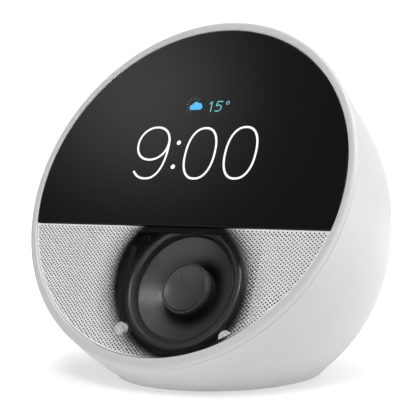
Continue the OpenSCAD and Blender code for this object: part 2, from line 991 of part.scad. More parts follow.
// Button with its crown flush to the body, a retaining flange and a plunger; children cut its mark
module button(i) {
    color(white)
        difference() {
            union() {
                intersection() {
                    on_top(i * button_pitch, button_s, button_flange_u) cylinder(r = button_r, h = 14);
                    body_solid(-button_proud);
                }
                intersection() {
                    on_top(i * button_pitch, button_s, button_flange_u) cylinder(r = 6, h = 0.9);
                    body_solid(wall + 0.3);
                }
                on_top(i * button_pitch, button_s, plunger_u)
                    cylinder(r = 1.4, h = button_flange_u - plunger_u + overlap);
            }
            intersection() {
                on_top(i * button_pitch, button_s, button_flange_u + 2) children();
                difference() {
                    body_solid(-2);
                    body_solid(0);
                }
            }
        }
}

module mark_bar() {
    translate([-1.8, -0.25, 0]) cube([3.6, 0.5, 12]);
}

module volume_down() {
    button(-1) mark_bar();
}

module volume_up() {
    button(1) {
        mark_bar();
        rotate([0, 0, 90]) mark_bar();
    }
}

module mic_button() {
    button(0)
        difference() {
            cylinder(r = 1.9, h = 12);
            translate([0, 0, -1]) cylinder(r = 1.4, h = 14);
        }
}

module button_board_screws() {
    color(steel)
        for (spot = button_board_screw_spots)
            on_top(spot[0], spot[1], switch_board_u) rotate([180, 0, 0]) screw(small_screw, 6);
}

module button_flex() {
    t = 0.2;
    color([0.75, 0.5, 0.2])
        difference() {
            union() {
                face_block(-3, 3, 36.1, 38.6, board_back + 0.6, board_back + 0.6 + t);
                face_block(-3, 3, 38.4, 38.4 + t, board_back + 0.6, 20);
                face_block(-3, 3, 38.4, 46, 20, 20 + t);
            }
            on_top(-24, -50, switch_board_u) cube([48, 100, 30]);
        }
}

// ---- Power and base -------------------------------------------------------------------------

module power_board() {
    color(board_green)
        difference() {
            union() {
                translate([-12.5, 23.5, power_board_z]) cube([25, 14, power_board_t]);
                translate([6, 24.5, power_board_z + power_board_t - 0.1]) cube([5, 4, 2]);
                translate([-11, 24.5, power_board_z + power_board_t - 0.1]) cube([5, 3, 1.6]);
            }
            for (spot = power_post_spots)
                translate([spot[0], spot[1], 0]) cylinder(r = small_screw[2] + 0.1, h = far);
        }
}

module dc_jack() {
    color(black)
        union() {
            difference() {
                translate([-5, 26.5, power_board_z + power_board_t])
                    cube([10, sleeve_y - 26.5, inlet_z + 5 - power_board_z - power_board_t]);
                translate([0, 29, inlet_z]) rotate([-90, 0, 0]) cylinder(r = 2.8, h = 20);
            }
            translate([0, 28.5, inlet_z]) rotate([-90, 0, 0]) cylinder(r = 0.65, h = 9);
        }
}

module power_screws() {
    color(steel)
        for (spot = power_post_spots)
            translate([spot[0], spot[1], power_board_z + power_board_t]) screw(small_screw, 5.5);
}

module power_cable() {
    color([0.15, 0.15, 0.15]) lead(power_route, 0.9);
}

module base_cover() {
    color(light_grey)
        difference() {
            intersection() {
                body_solid(cover_inset);
                level_slab(foot_top, cover_top);
            }
            for (spot = base_screw_spots)
                translate([spot[0], spot[1], 0]) {
                    cylinder(r = small_screw[2] + 0.1, h = 10);
                    cylinder(r = small_screw[0] + 0.2, h = foot_top + 1.1);
                }
        }
}

module base_screws() {
    color(steel)
        for (spot = base_screw_spots)
            translate([spot[0], spot[1], foot_top + 1.1])
                rotate([180, 0, 0]) screw([small_screw[0], 0.8, small_screw[2]], 5.4);
}

module rubber_foot() {
    color(dark_grey)
        intersection() {
            body_solid(2.4);
            level_slab(0, foot_top);
        }
}

rear_housing();
front_ring();
display_lens();
lens_tape();
optical_adhesive();
lcd_panel();
backlight_unit();
display_shield();
lcd_flex();
display_carrier();
display_screws();
grille_cloth();
grille_frame();
speaker_baffle();
speaker_box();
box_screws();
speaker_gasket();
speaker_frame();
speaker_screws();
surround();
cone();
dust_cap();
coil_former();
voice_coil();
spider();
top_plate();
magnet();
yoke();
terminal_strip();
speaker_cable();
cable_grommet();
main_board();
processor();
shield_can();
thermal_pad();
heat_spreader();
wireless_module();
board_screws();
antenna_left();
antenna_right();
button_board();
tact_switches();
microphones();
mic_gasket_left();
mic_gasket_right();
volume_down();
mic_button();
volume_up();
button_board_screws();
button_flex();
power_board();
dc_jack();
power_screws();
power_cable();
base_cover();
base_screws();
rubber_foot();
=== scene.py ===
"""Looks of a table-top smart display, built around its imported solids.

Lengths in the named values below are millimetres and repeat the ones that the solids were made
with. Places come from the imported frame: the face, its axes and the loudspeaker are read from it.
"""

import json
import math

import bmesh
import bpy
import numpy as np
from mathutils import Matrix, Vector

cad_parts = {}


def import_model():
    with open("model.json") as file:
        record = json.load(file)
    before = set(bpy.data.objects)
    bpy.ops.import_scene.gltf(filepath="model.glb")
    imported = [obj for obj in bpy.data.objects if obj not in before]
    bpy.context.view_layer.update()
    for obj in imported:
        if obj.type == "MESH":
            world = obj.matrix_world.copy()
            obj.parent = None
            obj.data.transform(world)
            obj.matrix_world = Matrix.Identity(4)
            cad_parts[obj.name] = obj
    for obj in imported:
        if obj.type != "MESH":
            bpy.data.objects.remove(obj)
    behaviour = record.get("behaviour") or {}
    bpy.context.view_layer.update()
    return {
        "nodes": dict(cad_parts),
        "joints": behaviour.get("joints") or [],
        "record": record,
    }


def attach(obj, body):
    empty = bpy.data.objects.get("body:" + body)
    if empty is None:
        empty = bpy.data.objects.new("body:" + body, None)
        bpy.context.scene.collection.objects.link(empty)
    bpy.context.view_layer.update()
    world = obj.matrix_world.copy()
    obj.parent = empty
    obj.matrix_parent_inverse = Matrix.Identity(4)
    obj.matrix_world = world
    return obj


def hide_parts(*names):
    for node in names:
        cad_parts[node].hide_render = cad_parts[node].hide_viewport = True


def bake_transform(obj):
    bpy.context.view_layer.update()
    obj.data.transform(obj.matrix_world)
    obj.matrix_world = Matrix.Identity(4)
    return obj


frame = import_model()

MM = 0.001
JOINTS = {joint["name"]: joint for joint in frame["joints"]}

# Body of revolution behind the face
BODY_R = 55.8
STRAIGHT = 16.0
FLANK_R = 78.0
FLANK_TURN = math.radians(52)
FLANK_CX = BODY_R - FLANK_R
FLANK_END_S = STRAIGHT + FLANK_R * math.sin(FLANK_TURN)
TAIL_R = (FLANK_CX + FLANK_R * math.cos(FLANK_TURN)) / math.cos(FLANK_TURN)
TAIL_S = FLANK_END_S - TAIL_R * math.sin(FLANK_TURN)
WALL = 2.2
RIM_Z = 0.7
HOUSING_DEPTH = 1.35

# Widening of the body where it meets the table, and the height up to which it is made
FLARE = 1.1
FLARE_HEIGHT = 1.4
FLARE_TOP = 5.5

# Rebate for the base cover at the housing's foot, and the land behind its front edge
REBATE_INSET = 1.55
REBATE_TOP = 3.1
REBATE_END = 3.3
LAND_INSET = 1.3
LAND_END = 4.4
WALL_START = 4.6

# Face
RING_LIP = 1.2
RING_DEPTH = 4.0
OPENING_R = 53.5
LENS_R = 53.3
LENS_LOW = -13.1
LENS_FRONT = 0.3
LENS_BACK = 1.4
CLOTH_TOP = -13.3
CLOTH_FRONT = 0.4
CLOTH_BACK = 0.9

# Loudspeaker, as radii and depths
ROLL_R = 2.1
CREST_R = 19.2
FLANGE_DEPTH = 14.0
CONE_EDGE_R = 17.2
NECK_R = 7.89
NECK_DEPTH = 19.3
CAP_R = 8.05
CAP_FOOT = 19.1
DISH_DEPTH = 15.95
DISH_R = 17.0
SKIN = 0.4

# Buttons and inlet
BUTTON_R = 4.8
BUTTON_HOLE_R = 5.05
BUTTON_PITCH = 16.0
BUTTON_S = 14.5
BUTTON_PROUD = 0.3
BUTTON_FLANGE_U = 48.5
BUTTON_HOLE_FOOT = 40
PLUNGER_R = 1.4
PLUNGER_U = BUTTON_FLANGE_U - 0.9
MARK_DEPTH = 0.25
MIC_X = 8.0
MIC_S = 4.6
MIC_R = 0.6
MIC_HOLE_FOOT = 48
INLET_R = 5.0
INLET_Z = 16.0
SLEEVE_Y = 38.5
SLEEVE_END_Y = 44.2
SLEEVE_WALL = 1.6


# The clear oval in the cloth: its two foci on the face, and the half lengths, along its long
# axis, where the cloth starts to show and where it is whole
WINDOW_FOCI = ((-2.5, -22.0), (16.0, -39.5))
WINDOW_CLEAR = 23.6
WINDOW_FULL = 32.0


# ---- Axes read from the frame ----

def read_all(items, attribute, width=3, kind=float):
    """One attribute of all of a mesh's vertices, corners or faces, as an array."""
    flat = np.zeros(len(items) * width, kind)
    items.foreach_get(attribute, flat)
    return flat.reshape(-1, width) if width > 1 else flat


def extent(node, direction):
    """Lowest and highest reach of a CAD node along a direction, in metres."""
    along = read_all(frame["nodes"][node].data.vertices, "co") @ direction
    return along.min(), along.max()


ACROSS = np.array([1.0, 0.0, 0.0])
OUT = np.array(JOINTS["cone_stroke"]["axis"], float)
UP_FACE = np.cross(OUT, ACROSS)
TOP = -np.array(JOINTS["mic_button_press"]["axis"], float)
ALONG = np.cross(TOP, ACROSS)
FACE = OUT * extent("front_ring", OUT)[1] + UP_FACE * sum(extent("front_ring", UP_FACE)) / 2
DRIVER_V = (sum(extent("magnet", UP_FACE)) / 2 - FACE @ UP_FACE) / MM


def on_face(x, v, depth):
    """Points given across, up and behind the face, in millimetres."""
    x, v, depth = np.broadcast_arrays(x, v, depth)
    return FACE + MM * (x[..., None] * ACROSS + v[..., None] * UP_FACE - depth[..., None] * OUT)


def on_top(x, s, u):
    """Points given across, along the body's axis and out through its top, in millimetres."""
    x, s, u = np.broadcast_arrays(x, s, u)
    return FACE + MM * (x[..., None] * ACROSS + s[..., None] * ALONG + u[..., None] * TOP)


def body_radius(s, inset=0.0):
    """Radius of the body about its axis, `inset` inside its outer surface."""
    flank = FLANK_CX + np.sqrt(np.maximum((FLANK_R - inset) ** 2 - (s - STRAIGHT) ** 2, 0))
    tail = np.sqrt(np.maximum((TAIL_R - inset) ** 2 - (s - TAIL_S) ** 2, 0))
    end = STRAIGHT + (FLANK_R - inset) * math.sin(FLANK_TURN)
    return np.where(s <= STRAIGHT, BODY_R - inset, np.where(s <= end, flank, tail))


def body_normal(points):
    """Outward normals of the body's surface at points in the row frame."""
    local = (points - FACE) / MM
    x, s, u = local @ ACROSS, local @ ALONG, local @ TOP
    centre_s = np.where(s <= STRAIGHT, s, np.where(s <= FLANK_END_S, STRAIGHT, TAIL_S))
    r = np.maximum(np.hypot(x, u), 1e-9)
    centre_r = np.where((s > STRAIGHT) & (s <= FLANK_END_S), FLANK_CX, 0.0)
    across, along = r - centre_r, s - centre_s
    size = np.hypot(across, along)
    radial = (x / r)[:, None] * ACROSS + (u / r)[:, None] * TOP
    return (across / size)[:, None] * radial + (along / size)[:, None] * ALONG


# ---- Meshes ----

def round_turn(steps):
    """Angles of a full turn in even steps."""
    return np.linspace(0, 2 * math.pi, steps, endpoint=False)


def grid_faces(rows, columns, closed_rows=False):
    """Quads of a grid whose columns go round, and whose rows do too if closed_rows."""
    faces = []
    for row in range(rows if closed_rows else rows - 1):
        below = (row + 1) % rows
        for column in range(columns):
            after = (column + 1) % columns
            faces.append((row * columns + column, row * columns + after,
                          below * columns + after, below * columns + column))
    return faces


def capped_faces(rows, columns):
    """Quads of a grid whose columns go round, and the two faces that close its ends."""
    faces = grid_faces(rows, columns)
    faces.append(tuple(range(columns)))
    faces.append(tuple(range((rows - 1) * columns, rows * columns)))
    return faces


def joined(parts):
    """One set of points and faces from several (points, faces) pairs."""
    points, faces, base = [], [], 0
    for own_points, own_faces in parts:
        points.append(own_points)
        faces += [tuple(i + base for i in face) for face in own_faces]
        base += len(own_points)
    return np.concatenate(points), faces


def piece(name, points, faces, material, body="housing", sharp=35):
    """A mesh piece that rides on a body. Edges bent by more than `sharp` degrees stay sharp."""
    mesh = bpy.data.meshes.new(name)
    mesh.from_pydata([tuple(p) for p in np.asarray(points, float)], [], [tuple(f) for f in faces])
    tidy = bmesh.new()
    tidy.from_mesh(mesh)
    bmesh.ops.remove_doubles(tidy, verts=tidy.verts, dist=1e-7)
    bmesh.ops.recalc_face_normals(tidy, faces=tidy.faces)
    tidy.to_mesh(mesh)
    tidy.free()
    for polygon in mesh.polygons:
        polygon.use_smooth = True
    mesh.set_sharp_from_angle(angle=math.radians(sharp))
    flat_edges = {key for polygon in mesh.polygons if polygon.loop_total > 4
                  for key in polygon.edge_keys}
    for edge in mesh.edges:
        if tuple(sorted(edge.vertices)) in flat_edges:
            edge.use_edge_sharp = True
    mesh.materials.append(material)
    made = bpy.data.objects.new(name, mesh)
    bpy.context.scene.collection.objects.link(made)
    if body:
        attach(made, body)
    return made


def turned(name, profile, material, body="housing", v=0.0, turns=192, closed=True):
    """A piece turned about the face's normal through height v, from (radius, depth) pairs."""
    angles = round_turn(turns)
    radius = np.array([p[0] for p in profile])[:, None]
    depth = np.array([p[1] for p in profile])[:, None]
    points = on_face(radius * np.cos(angles), v + radius * np.sin(angles), depth + 0 * angles)
    return piece(name, points.reshape(-1, 3), grid_faces(len(profile), turns, closed), material,
                 body)


def arc(centre, radius, start, end, steps):
    """Points on an arc, from and to angles in degrees."""
    return [
        (centre[0] + radius * math.cos(math.radians(a)),
         centre[1] + radius * math.sin(math.radians(a)))
        for a in np.linspace(start, end, steps)
    ]


def offset_outline(outline, inset):
    """A convex outline, counter-clockwise, moved inwards by inset."""
    outline = np.array(outline, float)
    before, after = np.roll(outline, 1, axis=0), np.roll(outline, -1, axis=0)
    first, second = outline - before, after - outline
    first /= np.linalg.norm(first, axis=1)[:, None]
    second /= np.linalg.norm(second, axis=1)[:, None]
    normal = np.stack([-(first + second)[:, 1], (first + second)[:, 0]], axis=1)
    normal /= np.linalg.norm(normal, axis=1)[:, None]
    lean = np.maximum((normal * np.stack([-first[:, 1], first[:, 0]], axis=1)).sum(axis=1), 0.3)
    return outline + normal * (inset / lean)[:, None]


def slab(name, outline, front, back, bevel, material, body="housing"):
    """A flat plate on the face with a rounded front edge, from its outline."""
    rows = []
    for turn in np.linspace(90, 0, 5):
        inset = bevel * (1 - math.cos(math.radians(turn)))
        depth = front + bevel * (1 - math.sin(math.radians(turn)))
        flat = offset_outline(outline, inset)
        rows.append(on_face(flat[:, 0], flat[:, 1], depth))
    across, up = np.array(outline, float).T
    rows.append(on_face(across, up, back))
    return piece(name, np.concatenate(rows), capped_faces(len(rows), len(outline)), material, body)


def segment_outline(radius, cut, above, corner=0.25, steps=200):
    """The part of a disc above or below the height `cut`, with rounded corners."""
    side = 1 if above else -1
    reach = math.sqrt((radius - corner) ** 2 - (abs(cut) + side * corner) ** 2)
    centre = cut + side * corner
    bend = math.degrees(math.atan2(centre, reach))
    if above:
        outline = arc((0, 0), radius, bend, 180 - bend, steps)
        outline += arc((-reach, centre), corner, 180 - bend, 270, 8)[1:]
        outline += arc((reach, centre), corner, -90, bend, 8)[:-1]
        return outline
    outline = arc((0, 0), radius, 180 - bend, 360 + bend, steps)
    outline += arc((reach, centre), corner, bend, 90, 8)[1:]
    outline += arc((-reach, centre), corner, 90, 180 - bend, 8)[:-1]
    return outline


# ---- Materials ----

def new_material(name):
    """A material with its nodes, links and shader."""
    material = bpy.data.materials.new(name)
    material.use_nodes = True
    nodes = material.node_tree.nodes
    return material, nodes, material.node_tree.links, nodes["Principled BSDF"]


def noise(nodes, links, size, detail=3.0):
    """Noise in the object's own space, with features of about `size` millimetres."""
    place = nodes.new("ShaderNodeTexCoord")
    texture = nodes.new("ShaderNodeTexNoise")
    texture.inputs["Scale"].default_value = 1 / (size * MM)
    texture.inputs["Detail"].default_value = detail
    links.new(place.outputs["Object"], texture.inputs["Vector"])
    return texture.outputs["Fac"]


def ranged(nodes, links, value, low=0, high=1, start=0.3, end=0.7):
    """value between start and end, spread from low to high."""
    spread = nodes.new("ShaderNodeMapRange")
    spread.inputs["From Min"].default_value = start
    spread.inputs["From Max"].default_value = end
    spread.inputs["To Min"].default_value = low
    spread.inputs["To Max"].default_value = high
    links.new(value, spread.inputs["Value"])
    return spread.outputs["Result"]


def measured(nodes, links, operation, vector, space="Object"):
    """The place's DISTANCE from a point, or its DOT_PRODUCT with a direction."""
    place = nodes.new("ShaderNodeTexCoord")
    measure = nodes.new("ShaderNodeVectorMath")
    measure.operation = operation
    measure.inputs[1].default_value = tuple(vector)
    links.new(place.outputs[space], measure.inputs[0])
    return measure.outputs["Value"]


def roughened(nodes, links, shader, height, relief):
    """Bends the surface's normal with bumps of `relief` millimetres."""
    bump = nodes.new("ShaderNodeBump")
    bump.inputs["Distance"].default_value = relief * MM
    links.new(height, bump.inputs["Height"])
    links.new(bump.outputs["Normal"], shader.inputs["Normal"])


def seen_or_lighting(nodes, links, seen, lighting, kind="FLOAT"):
    """`seen` where the light is looked at, and the constant `lighting` on matt surfaces."""
    path = nodes.new("ShaderNodeLightPath")
    mix = nodes.new("ShaderNodeMix")
    mix.data_type = kind
    mix.inputs["B"].default_value = lighting
    links.new(path.outputs["Is Diffuse Ray"], mix.inputs["Factor"])
    links.new(seen, mix.inputs["A"])
    return mix.outputs["Result"]


def mixed(nodes, links, factor, first, second):
    """The first colour where factor is 0, and the second colour or output where it is 1."""
    mix = nodes.new("ShaderNodeMix")
    mix.data_type = "RGBA"
    mix.inputs["A"].default_value = (*first, 1)
    if isinstance(second, bpy.types.NodeSocket):
        links.new(second, mix.inputs["B"])
    else:
        mix.inputs["B"].default_value = (*second, 1)
    links.new(factor, mix.inputs["Factor"])
    return mix.outputs["Result"]


def finish_of(name, colour, roughness, metallic=0.0, mottle=0.03, patch=7.0, grain=0.3,
              relief=0.004, coat=0.0, specular=0.5):
    """A moulded, coated or metal surface: mottled colour, uneven gloss and a fine grain."""
    material, nodes, links, shader = new_material(name)
    patches = noise(nodes, links, patch)
    low = [c * (1 - mottle) for c in colour]
    high = [min(c * (1 + mottle), 1) for c in colour]
    links.new(mixed(nodes, links, ranged(nodes, links, patches), low, high),
              shader.inputs["Base Color"])
    fine = noise(nodes, links, grain)
    links.new(ranged(nodes, links, fine, roughness * 0.9, roughness * 1.1),
              shader.inputs["Roughness"])
    roughened(nodes, links, shader, fine, relief)
    shader.inputs["Metallic"].default_value = metallic
    shader.inputs["Coat Weight"].default_value = coat
    shader.inputs["Coat Roughness"].default_value = 0.1
    shader.inputs["Specular IOR Level"].default_value = specular
    return material


def lit(name, colour, strength):
    """Light that the display gives out, with the faint grid of its cells."""
    material, nodes, links, shader = new_material(name)
    cells = noise(nodes, links, 0.3)
    links.new(mixed(nodes, links, ranged(nodes, links, cells),
                    [c * 0.94 for c in colour], colour), shader.inputs["Emission Color"])
    shader.inputs["Emission Strength"].default_value = strength
    shader.inputs["Base Color"].default_value = (0.01, 0.01, 0.01, 1)
    shader.inputs["Roughness"].default_value = 0.4
    return material


white_plastic = finish_of("white_plastic", (0.555, 0.56, 0.568), 0.42, mottle=0.008, relief=0.003)
ring_plastic = finish_of("ring_plastic", (0.585, 0.59, 0.597), 0.38, mottle=0.008, relief=0.003)
button_plastic = finish_of("button_plastic", (0.56, 0.565, 0.573), 0.45, mottle=0.01, relief=0.004)
glass = finish_of("lens_glass", (0.0018, 0.0018, 0.002), 0.09, mottle=0.1, relief=0.0,
                  specular=0.2)
rubber = finish_of("surround_rubber", (0.02, 0.02, 0.0205), 0.34, mottle=0.12, patch=3,
                   grain=0.2, relief=0.006)


def painted_shade_by_depth(material, start, end):
    """Blackens a driver finish below a depth: painted shade in the deep parts of the cone and on
    the cap's wall.
    """
    nodes, links = material.node_tree.nodes, material.node_tree.links
    shader = nodes["Principled BSDF"]
    out = measured(nodes, links, "DOT_PRODUCT", OUT)
    face = float(FACE @ OUT)
    unshaded = ranged(nodes, links, out, 0, 1, face - end * MM, face - start * MM)
    colour = shader.inputs["Base Color"].links[0].from_socket
    links.new(mixed(nodes, links, unshaded, (0.006, 0.006, 0.006), colour),
              shader.inputs["Base Color"])
    return material


# Painted shade: the cone near its neck and the cap's side wall turn near black with depth.
cone_finish = painted_shade_by_depth(
    finish_of("cone_finish", (0.045, 0.045, 0.046), 0.36, mottle=0.08, patch=4, grain=0.15,
              relief=0.004), 16.9, 18.6)
cap_finish = painted_shade_by_depth(
    finish_of("cap_finish", (0.055, 0.055, 0.056), 0.36, mottle=0.06, patch=3, grain=0.15,
              relief=0.003), 16.0, 16.4)
clock_light = lit("clock_light", (1.0, 1.0, 1.0), 1.15)
cloud_light = lit("cloud_light", (0.09, 0.52, 0.95), 1.0)
degree_light = lit("degree_light", (0.19, 0.66, 0.72), 0.9)
ray_light = lit("ray_light", (0.1, 0.16, 0.18), 0.8)


def cloth_material(name, colour):
    """Spun yarn, with fibres along the surface. It thins out to nothing over the loudspeaker."""
    material, nodes, links, shader = new_material(name)
    fibres = noise(nodes, links, 0.12, 5)
    patches = noise(nodes, links, 9)
    shade = mixed(nodes, links, ranged(nodes, links, fibres),
                  [c * 0.82 for c in colour], colour)
    tint = nodes.new("ShaderNodeMix")
    tint.data_type = "RGBA"
    tint.blend_type = "MULTIPLY"
    tint.inputs["Factor"].default_value = 1.0
    links.new(shade, tint.inputs["A"])
    links.new(mixed(nodes, links, ranged(nodes, links, patches),
                    (0.96, 0.96, 0.965), (1, 1, 1)), tint.inputs["B"])
    links.new(tint.outputs["Result"], shader.inputs["Base Color"])
    shader.inputs["Roughness"].default_value = 0.75
    shader.inputs["Sheen Weight"].default_value = 0.15
    roughened(nodes, links, shader, fibres, 0.03)
    links.new(window_alpha(nodes, links), shader.inputs["Alpha"])
    return material


def window_alpha(nodes, links):
    """0 over the loudspeaker and 1 away from it, by the summed distances from two foci."""
    total = nodes.new("ShaderNodeMath")
    total.operation = "ADD"
    for socket, (x, v) in zip(total.inputs, WINDOW_FOCI):
        links.new(measured(nodes, links, "DISTANCE", on_face(x, v, CLOTH_FRONT)), socket)
    fade = nodes.new("ShaderNodeMapRange")
    fade.interpolation_type = "SMOOTHSTEP"
    fade.inputs["From Min"].default_value = 2 * WINDOW_CLEAR * MM
    fade.inputs["From Max"].default_value = 2 * WINDOW_FULL * MM
    links.new(total.outputs["Value"], fade.inputs["Value"])
    return fade.outputs["Result"]


# ---- Housing ----

# A point inside the body, and the axis from the middle of the foot to the middle of the face,
# about which the housing's mesh is laid out
CORE = FACE * 0.5
POLE = FACE / np.linalg.norm(FACE)
BACK = np.cross(POLE, ACROSS)
COLUMNS = 360


def cast(theta, psi, inset):
    """Where rays from the core meet the body, for angles about the pole and away from it."""
    direction = (np.cos(psi)[..., None] * POLE
                 + (np.sin(psi) * np.cos(theta))[..., None] * ACROSS
                 + (np.sin(psi) * np.sin(theta))[..., None] * BACK)
    start = (CORE - FACE) / MM
    near, far = np.zeros(psi.shape), np.full(psi.shape, 400.0)
    for _ in range(44):
        middle = (near + far) / 2
        at = start + middle[..., None] * direction
        x, s, u = at @ ACROSS, at @ ALONG, at @ TOP
        inside = np.hypot(x, u) < body_radius(s, inset) - np.where(s > FLANK_END_S + 30, 1e3, 0)
        near, far = np.where(inside, middle, near), np.where(inside, far, middle)
    return CORE + MM * near[..., None] * direction


def depth_of(points):
    """Depth behind the face, in millimetres."""
    return (FACE - points) @ OUT / MM


def height_of(points):
    """Height above the table, in millimetres."""
    return points[..., 2] / MM


def turn_to(theta, measure, value, inset, rising):
    """The angle away from the pole at which the body's depth or height reaches a value."""
    low, high = np.full(theta.shape, 1e-3), np.full(theta.shape, math.pi - 1e-3)
    for _ in range(40):
        middle = (low + high) / 2
        short = measure(cast(theta, middle, inset)) < value
        short = short if rising else ~short
        low, high = np.where(short, middle, low), np.where(short, high, middle)
    return low


def rim_row(theta, measure, value, inset, rising):
    """Points of the body, `inset` inside it, at a depth or height."""
    return cast(theta, turn_to(theta, measure, value, inset, rising), inset)


def wall_rows(theta, start, end, inset, count):
    """Rows of the body's surface between two rim angles, both left out."""
    shares = np.linspace(0, 1, count + 2)[1:-1]
    return [cast(theta, start + (end - start) * share, inset) for share in shares]


def flared(points):
    """The outer surface spreads a little where it meets the table."""
    height = height_of(points)
    spread = FLARE * np.exp(-(height - RIM_Z) / FLARE_HEIGHT)
    normal = body_normal(points)
    normal[:, 2] = 0
    normal /= np.linalg.norm(normal, axis=1)[:, None]
    return points + MM * spread[:, None] * normal


def housing_rows():
    """Rings of points from the front edge over the outside, round the foot and back inside."""
    theta = round_turn(COLUMNS)
    edge = 0.25
    foot = 0.35
    rows = []
    for turn in (90, 65, 40, 15):
        bend = math.radians(turn)
        rows.append(rim_row(theta, depth_of, HOUSING_DEPTH + edge * (1 - math.sin(bend)),
                            edge * (1 - math.cos(bend)), True))
    start = turn_to(theta, depth_of, HOUSING_DEPTH + edge, 0.0, True)
    end = turn_to(theta, height_of, RIM_Z + foot, 0.0, False)
    low = turn_to(theta, height_of, FLARE_TOP, 0.0, False)
    rows.append(cast(theta, start, 0.0))
    rows += wall_rows(theta, start, low, 0.0, 150)
    rows.append(cast(theta, low, 0.0))
    rows += [flared(p) for p in wall_rows(theta, low, end, 0.0, 16)]
    rows.append(flared(cast(theta, end, 0.0)))
    for turn in (20, 45, 70, 90):
        bend = math.radians(turn)
        rows.append(flared(rim_row(theta, height_of, RIM_Z + foot * (1 - math.sin(bend)),
                                   foot * (1 - math.cos(bend)), False)))
    for height, inset in ((RIM_Z, REBATE_INSET), (REBATE_TOP, REBATE_INSET), (REBATE_END, WALL)):
        rows.append(rim_row(theta, height_of, height, inset, False))
    back = turn_to(theta, height_of, REBATE_END, WALL, False)
    front = turn_to(theta, depth_of, WALL_START, WALL, True)
    rows += wall_rows(theta, back, front, WALL, 40)
    rows.append(cast(theta, front, WALL))
    rows.append(rim_row(theta, depth_of, LAND_END, LAND_INSET, True))
    rows.append(rim_row(theta, depth_of, HOUSING_DEPTH, LAND_INSET, True))
    return np.stack(rows)


def hole_cutter(radius, place, height, foot, soften, turns=72):
    """A plug that follows the surface with a softened mouth. place maps (across, along, out) in
    millimetres to the row frame, and height gives the surface's own height there."""
    angles = round_turn(turns)
    rows = []
    for out, rise in ((soften * 1.6, 1.5), (soften, 0.04), (soften * 0.45, -soften * 0.2),
                      (soften * 0.12, -soften * 0.6), (0, -soften)):
        across, along = (radius + out) * np.cos(angles), (radius + out) * np.sin(angles)
        rows.append(place(across, along, height(across, along) + rise))
    across, along = radius * np.cos(angles), radius * np.sin(angles)
    rows.append(place(across, along, np.full(turns, foot)))
    return np.concatenate(rows), capped_faces(len(rows), turns)


def top_place(x0, s0):
    """A place function for hole_cutter about a point of the top."""
    def place(across, along, out):
        return on_top(x0 + across, s0 + along, out)
    return place


def top_height(x0, s0):
    """A height function for hole_cutter about a point of the top."""
    def height(across, along):
        s = s0 + along
        return np.sqrt(body_radius(s) ** 2 - (x0 + across) ** 2)
    return height


def back_height(across, along):
    """How far back the tail's surface is, at a distance from the inlet's axis."""
    centre = FACE + MM * TAIL_S * ALONG
    drop = INLET_Z + along - centre[2] / MM
    return centre[1] / MM + np.sqrt(TAIL_R ** 2 - across ** 2 - drop ** 2)


def back_place(across, along, out):
    """A place function for hole_cutter about the inlet's axis."""
    return MM * np.stack([across, out, INLET_Z + along], axis=-1)


def cut(target, cutters):
    """Takes solids out of a mesh, given as (points, faces) pairs."""
    tool = piece("cutter", *joined(cutters), white_plastic, body=None)
    change = target.modifiers.new("holes", "BOOLEAN")
    change.object = tool
    change.solver = "EXACT"
    view = bpy.context.evaluated_depsgraph_get()
    result = bpy.data.meshes.new_from_object(target.evaluated_get(view))
    target.modifiers.remove(change)
    old = target.data
    target.data = result
    bpy.data.meshes.remove(old)
    bpy.data.objects.remove(tool)


def true_normals(target, above):
    """Gives the outer skin above a height its exact normals; the rest keeps its own."""
    mesh = target.data
    points = read_all(mesh.vertices, "co")
    local = (points - FACE) / MM
    radius = np.hypot(local @ ACROSS, local @ TOP)
    on_skin = np.abs(radius - body_radius(local @ ALONG)) < 0.02
    on_skin &= (height_of(points) > above) & (depth_of(points) > HOUSING_DEPTH + 0.24)
    corners = read_all(mesh.loops, "vertex_index", 1, int)
    sizes = read_all(mesh.polygons, "loop_total", 1, int)
    own = np.repeat(read_all(mesh.polygons, "normal"), sizes, axis=0)
    normals = body_normal(points)[corners]
    keep = on_skin[corners] & ((normals * own).sum(axis=1) > 0.97)
    normals[~keep] = 0
    mesh.normals_split_custom_set([tuple(n) for n in normals])


def shade_inside(target, inner_shade):
    """Gives the faces inside the wall a dull near-black finish: painted shade on the inside of the
    white wall.
    """
    faces = target.data.polygons
    outwards = body_normal(read_all(faces, "center"))
    inward = (outwards * read_all(faces, "normal")).sum(axis=1) < -0.3
    target.data.materials.append(inner_shade)
    faces.foreach_set("material_index", inward.astype(np.int32))


rows = housing_rows()
housing = piece("housing_shell", rows.reshape(-1, 3), grid_faces(len(rows), COLUMNS, True),
                white_plastic)
cutters = []
for x0 in (-BUTTON_PITCH, 0.0, BUTTON_PITCH):
    cutters.append(hole_cutter(BUTTON_HOLE_R, top_place(x0, BUTTON_S), top_height(x0, BUTTON_S),
                               BUTTON_HOLE_FOOT, 0.25))
for x0 in (-MIC_X, MIC_X):
    cutters.append(hole_cutter(MIC_R, top_place(x0, MIC_S), top_height(x0, MIC_S),
                               MIC_HOLE_FOOT, 0.12, 32))
cutters.append(hole_cutter(INLET_R, back_place, back_height, SLEEVE_Y - 1, 0.5))
cut(housing, cutters)
true_normals(housing, FLARE_TOP)
# Painted shade: the inside of the white wall is made near black.
shade_inside(housing, finish_of("inner_painted_shade", (0.04, 0.04, 0.041), 0.7, specular=0.3))
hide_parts("rear_housing")



def inlet_sleeve():
    """The tube inside the wall round the power inlet."""
    turns = 96
    angles = round_turn(turns)
    outer = INLET_R + SLEEVE_WALL
    profile = [(INLET_R, SLEEVE_Y), (outer, SLEEVE_Y), (outer, SLEEVE_END_Y),
               (INLET_R, SLEEVE_END_Y)]
    points = np.concatenate([
        back_place(r * np.cos(angles), r * np.sin(angles), np.full(turns, y)) for r, y in profile
    ])
    return piece("inlet_sleeve", points, grid_faces(len(profile), turns, True), white_plastic)


inlet_sleeve()


# ---- Ring, lens and grille ----

